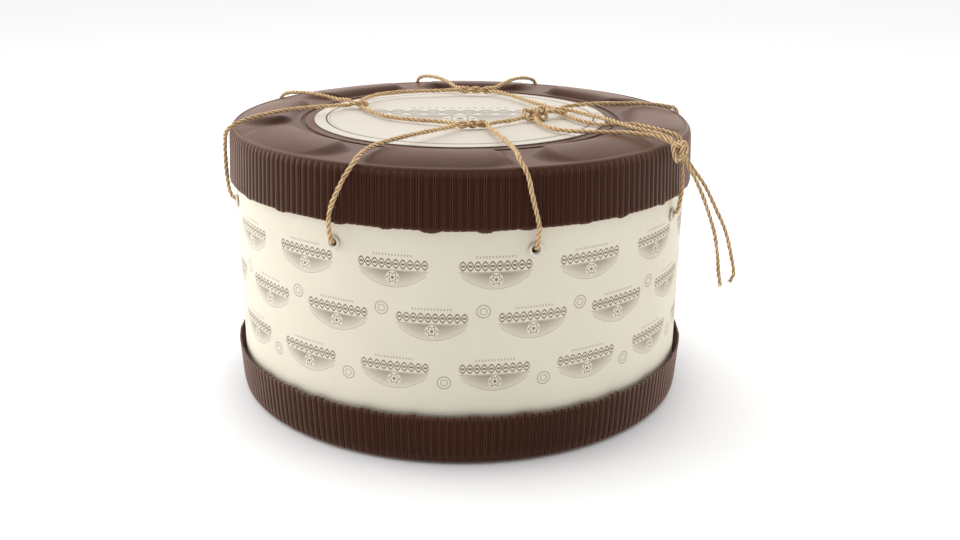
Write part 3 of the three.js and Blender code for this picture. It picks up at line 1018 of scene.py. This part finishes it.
class GIFTBOX_OT_draw(bpy.types.Operator):
    """The draw twine that gathers the laces over the lid, with its open knot and the knot on the rim"""

    bl_idname = "giftbox.draw"
    bl_label = "Draw Twine"

    def execute(self, context):
        store = empty_store()
        path, run = furred(store, draw_route(), 21, 22)
        piece = twine_piece("draw_twine", store, ("draw_ring", "draw_run_1", "draw_run_2"))

        centre = empty_store()
        for number, loop in enumerate(open_knot_lines()):
            furred(centre, loop, 23 + number, 43 + number)
        open_knot = twine_piece("open_knot", centre, ("knot_centre",))

        rim = empty_store()
        furred(rim, trefoil((0.1056, -0.0762, 0.1450), 0.00132, 0.0014, 75, (0, 1, 0), 52), 25, 26)
        wrap = mm(
            (104.6, -76.4, 146.6), (102.4, -77.0, 147.2), (101.8, -79.0, 145.6), (102.2, -80.6, 143.0),
            (103.4, -81.2, 140.2), (105.2, -80.6, 141.4), (105.8, -80.0, 145.0), (106.6, -78.0, 148.4),
            (108.2, -76.0, 147.2), (108.6, -76.0, 143.4), (106.6, -75.8, 141.6), (104.4, -76.6, 143.4),
        )
        furred(rim, wrap, 27, 28)
        tight_knot = twine_piece("rim_knot", rim, ("knot_rim",))

        sizes("twine").diameter
        return {"FINISHED"}


class GIFTBOX_OT_tails(bpy.types.Operator):
    """The two cut tails that hang from the knot on the rim"""

    bl_idname = "giftbox.tails"
    bl_label = "Twine Tails"

    def execute(self, context):
        for name, seed in (("tail_1", 31), ("tail_2", 33)):
            store = empty_store()
            path, run = furred(store, TAILS[name], seed, seed + 1, flare=0.35, scale=0.86)
            self.frayed_end(store, path, seed + 2)
            piece = twine_piece("hanging_" + name, store, (name,))
            sizes("twine").diameter
        return {"FINISHED"}

    def frayed_end(self, store, path, seed):
        chance = random.Random(seed)
        along = Vector(path[-1] - path[-3]).normalized()
        for _ in range(18):
            out = Vector([chance.uniform(-1, 1) for _ in range(3)])
            start = Vector(path[-2]) + out * 0.0008
            reach = chance.uniform(0.0012, 0.0030)
            line = [tuple(start + along * reach * t + out * 0.0011 * t * t) for t in (0, 0.35, 0.7, 1.0)]
            add_tube(store, np.array(line), np.linspace(0.00008, 0.00003, 4), 3)


class GIFTBOX_OT_lid(bpy.types.Operator):
    """The pressed lid: eight pillows, a fold, and a fluted skirt with a die-cut edge"""

    bl_idname = "giftbox.lid"
    bl_label = "Lid"

    def execute(self, context):
        lid, sheet = sizes("lid"), sizes("tray").sheet
        turns, relief = rib_columns(lid.rib_count)
        edge = trimmed_edge(turns, 5, 0.0003, -0.0010)
        rows = Rows(turns)
        row = rows.add

        # flat and pillows, from the middle out
        for radius in (0.010, 0.040, 0.0700, 0.0780, 0.0836):
            row(radius, lid.level)
        groove = (0.0838, 0), (0.0842, 0.001), (0.0848, 0.0013), (0.0854, 0.0013), (0.086, 0.001), (0.0864, 0)
        for radius, drop in groove:
            row(radius, lid.level - drop)
        for radius in np.concatenate([np.linspace(0.0868, 0.0896, 4), np.linspace(0.0900, 0.1000, 18),
                                      np.linspace(0.1012, 0.1200, 18)]):
            row(radius, lid.level + pillow_rise(np.full_like(turns, radius), turns))
        # fold, with a painted highlight line along it, then the scalloped tops of the ribs
        row(0.1206, lid.level)
        row(0.1211, lid.level - 0.0001)
        row(0.1215, lid.level + 0.0002, 0.5)
        row(0.1219, lid.level + 0.0001, 0.9)
        row(lid.fold_radius, lid.level - 0.0004, 0.6)
        ridge = relief > 0
        half = lid.rib_depth / 2
        rib_top = 0.1434
        slope = (lid.edge_radius - lid.shoulder_radius) / (rib_top - lid.edge_height)
        # the ribs' ridge corners carry a painted highlight share down the skirt
        for height, amount in ((0.1449, 0.1), (0.1446, 0.5), (0.1441, 0.85), (0.1435, 1.0)):
            bulge = np.where(ridge, 1.0, 0.2)
            radius = lid.fold_radius + (0.1456 - height) * 0.55 + relief * half * amount * bulge
            row(radius, height, corner_wear(relief, 0.9, 0.25) * amount)
        for height in np.linspace(0.1412, lid.edge_height + 0.0016, 7):
            radius = lid.shoulder_radius + (rib_top - height) * slope + relief * half
            row(radius, height, corner_wear(relief, 0.75, 0.0))
        bottom = lid.edge_height + edge
        radius = lid.edge_radius + relief * half
        row(radius, bottom + 0.0003, 0.6)
        row(radius - 0.0002, bottom, 1.0)
        # inside, back up to the middle
        row(radius - sheet + 0.0001, bottom, 1.0)
        row(radius - sheet, bottom + 0.0003, 0.4)
        row(lid.shoulder_radius - sheet, 0.1424)
        row(lid.fold_radius - sheet, lid.level - sheet - 0.0006)
        row(0.1190, lid.level - sheet)
        row(0.0300, lid.level - sheet)
        rows.piece("ribbed_lid", turns, "lid", -1)
        return {"FINISHED"}


class GIFTBOX_OT_tray(bpy.types.Operator):
    """The fluted tray that the card wall stands in"""

    bl_idname = "giftbox.tray"
    bl_label = "Tray"

    def execute(self, context):
        tray = sizes("tray")
        turns, relief = rib_columns(sizes("lid").rib_count)
        turns = turns + 0.011  # the tray's ribs don't line up with the lid's
        edge = trimmed_edge(turns, 9, 0.0003, 0.0009)
        half = sizes("lid").rib_depth / 2
        rows = Rows(turns)
        row = rows.add

        row(0.030, 0.0)
        row(0.1140, 0.0)
        row(0.1205, 0.0)
        row(0.1214, 0.0001)
        row(0.1224, 0.0006, 0.5)
        row(0.1232, 0.0014, 0.4)
        # the ribs' ridge corners carry a painted highlight share
        for height, amount in ((0.0022, 0.3), (0.0030, 0.8), (0.0038, 1.0)):
            radius = tray.foot_radius - 0.0002 + relief * half * amount
            row(radius, height, corner_wear(relief, 0.9, 0.2) * amount)
        for height in np.linspace(0.0060, tray.height - 0.0030, 6):
            radius = tray.foot_radius + (tray.mouth_radius - tray.foot_radius) * (height - 0.0025) / 0.0242
            row(radius + relief * half, height, corner_wear(relief, 0.75, 0.0))
        top = tray.height - 0.0008 + edge
        radius = tray.mouth_radius + relief * half
        row(radius, top - 0.0003, 0.6)
        row(radius - 0.0002, top, 1.0)
        row(radius - tray.sheet + 0.0001, top, 1.0)
        row(radius - tray.sheet, top - 0.0003, 0.5)
        row(tray.mouth_radius - tray.sheet - 0.0004, tray.height - 0.0045)
        row(tray.foot_radius - tray.sheet - 0.0002, 0.0045)
        row(0.1224 - tray.sheet, 0.0014)
        row(0.1190, tray.sheet)
        row(0.0300, tray.sheet)
        rows.piece("ribbed_tray", turns, "base_tray")
        return {"FINISHED"}


class GIFTBOX_OT_wall(bpy.types.Operator):
    """The card wall, with its punched lacing holes and a lapped seam at the back"""

    bl_idname = "giftbox.wall"
    bl_label = "Card Wall"

    def execute(self, context):
        wall = sizes("wall")
        columns, rows = 512, 24
        turns = np.arange(columns) * 2 * math.pi / columns
        heights = np.linspace(wall.foot, wall.top, rows)
        outer = np.full((rows, columns), wall.radius)
        seam = math.radians(174)
        lap = np.clip(np.abs(apart(turns, seam)) / 0.004, 0, 1)
        outer = outer - 0.0003 * (1 - lap)[None, :]
        # the lacing pulls the card in a hair round each hole
        for angle in EYELETS:
            away = apart(turns, math.radians(angle))
            reach = (away[None, :] * wall.radius) ** 2 + (heights[:, None] - wall.eyelet_height) ** 2
            outer = outer - 0.00025 * np.exp(-reach / 0.009**2)
        radius = np.vstack([outer, outer[::-1] - wall.card])
        height = np.repeat(np.concatenate([heights, heights[::-1]])[:, None], columns, 1)
        x, y = radius * np.sin(turns), -radius * np.cos(turns)
        points = np.stack([x, y, height], axis=-1).reshape(-1, 3)
        faces = ring_faces(2 * rows, columns, True).tolist()
        piece = piece_from("card_wall", points, faces, "cream_card", ("side_wall",))

        punch_mesh = bpy.data.meshes.new("punch")
        points, faces = [], []
        around_hole, hole_radius = 24, 0.0026
        for angle in EYELETS:
            base = len(points)
            top = base + around_hole
            rings = ((hole_radius, 0.116), (hole_radius, 0.127))
            points += axis_rings(angle, wall.eyelet_height, rings, around_hole)
            for k in range(around_hole):
                n = (k + 1) % around_hole
                faces.append((base + k, base + n, top + n, top + k))
            faces += [tuple(range(top - 1, base - 1, -1)), tuple(range(top, top + around_hole))]
        punch_mesh.from_pydata(points, [], faces)
        punch = bpy.data.objects.new("punch", punch_mesh)
        context.scene.collection.objects.link(punch)
        cut = piece.modifiers.new("holes", "BOOLEAN")
        cut.object, cut.operation, cut.solver = punch, "DIFFERENCE", "EXACT"
        baked = bpy.data.meshes.new_from_object(piece.evaluated_get(context.evaluated_depsgraph_get()))
        piece.modifiers.clear()
        piece.data = baked
        bpy.data.objects.remove(punch)
        baked.set_sharp_from_angle(angle=math.radians(30))
        return {"FINISHED"}


class GIFTBOX_OT_label(bpy.types.Operator):
    """The round paper label, very slightly cockled, that lies in the middle of the lid"""

    bl_idname = "giftbox.label"
    bl_label = "Label"

    def execute(self, context):
        low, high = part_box("lid_label")
        limit = sizes("wall").label_radius
        columns = 240
        turns = np.arange(columns) * 2 * math.pi / columns
        radii = np.concatenate([np.linspace(0.004, limit - 0.0006, 34), [limit - 0.0002, limit]])
        chance = random.Random(41)
        waves = [(chance.uniform(20, 90), chance.uniform(0, 6.28), chance.uniform(0, 6.28)) for _ in range(9)]
        x, y = radii[:, None] * np.sin(turns), -radii[:, None] * np.cos(turns)
        cockle = sum(np.sin((x * math.cos(d) + y * math.sin(d)) * f + p) for f, d, p in waves) / 9
        top = high[2] - 0.00006 + 0.00022 * cockle
        top[-1] -= 0.00012
        bottom = np.full_like(top, low[2])
        radius = np.repeat(np.concatenate([radii, radii[::-1]])[:, None], columns, 1)
        height = np.vstack([top, bottom[::-1]])
        turned_piece("round_label", radius[::-1], height[::-1], turns, "cream_paper", "lid_label")
        return {"FINISHED"}


class GIFTBOX_OT_eyelets(bpy.types.Operator):
    """Eight rolled eyelets set in the card wall"""

    bl_idname = "giftbox.eyelets"
    bl_label = "Eyelets"

    def execute(self, context):
        profile = (  # radius from the eyelet's axis, distance out from the wall's axis
            (0.00190, 0.1197), (0.00185, 0.1215), (0.00195, 0.1228), (0.00222, 0.12335), (0.0026, 0.12358),
            (0.0031, 0.1235), (0.00348, 0.12318), (0.00362, 0.12285), (0.00352, 0.12262), (0.00256, 0.12258),
            (0.0025, 0.1207), (0.0031, 0.1205), (0.00345, 0.1203), (0.00335, 0.11985), (0.0027, 0.11965),
            (0.00215, 0.1196),
        )
        columns = 40
        for number, angle in enumerate(EYELETS, 1):
            points = axis_rings(angle, sizes("wall").eyelet_height, profile, columns)
            faces = ring_faces(len(profile), columns, True)[:, ::-1].tolist()
            piece_from("rolled_eyelet_%d" % number, points, faces, "ivory_eyelet", ("eyelet_%d" % number,))
        return {"FINISHED"}


OPERATORS = (GIFTBOX_OT_stage, GIFTBOX_OT_lacing, GIFTBOX_OT_draw, GIFTBOX_OT_tails, GIFTBOX_OT_lid,
             GIFTBOX_OT_tray, GIFTBOX_OT_wall, GIFTBOX_OT_label, GIFTBOX_OT_eyelets)
SETTINGS = {"lid": GIFTBOX_LidSizes, "tray": GIFTBOX_TraySizes, "wall": GIFTBOX_WallSizes,
            "twine": GIFTBOX_TwineSizes, "finishes": GIFTBOX_Finishes}


class GIFTBOX_PT_panel(bpy.types.Panel):
    bl_label = "Gift Box"
    bl_idname = "GIFTBOX_PT_panel"
    bl_space_type = "VIEW_3D"
    bl_region_type = "UI"
    bl_category = "Gift Box"

    def draw(self, context):
        for operator in OPERATORS:
            self.layout.operator(operator.bl_idname)
        for name, group in SETTINGS.items():
            box = self.layout.box()
            box.label(text=name.capitalize())
            for key in group.__annotations__:
                box.prop(sizes(name), key)


CLASSES = tuple(SETTINGS.values()) + OPERATORS + (GIFTBOX_PT_panel,)


def register():
    for cls in CLASSES:
        bpy.utils.register_class(cls)
    for name, group in SETTINGS.items():
        setattr(bpy.types.Scene, "giftbox_" + name, bpy.props.PointerProperty(type=group))


def unregister():
    for name in SETTINGS:
        delattr(bpy.types.Scene, "giftbox_" + name)
    for cls in reversed(CLASSES):
        bpy.utils.unregister_class(cls)


def main():
    register()
    for operator in OPERATORS:
        family, name = operator.bl_idname.split(".")
        getattr(getattr(bpy.ops, family), name)()


if __name__ == "__main__":
    main()
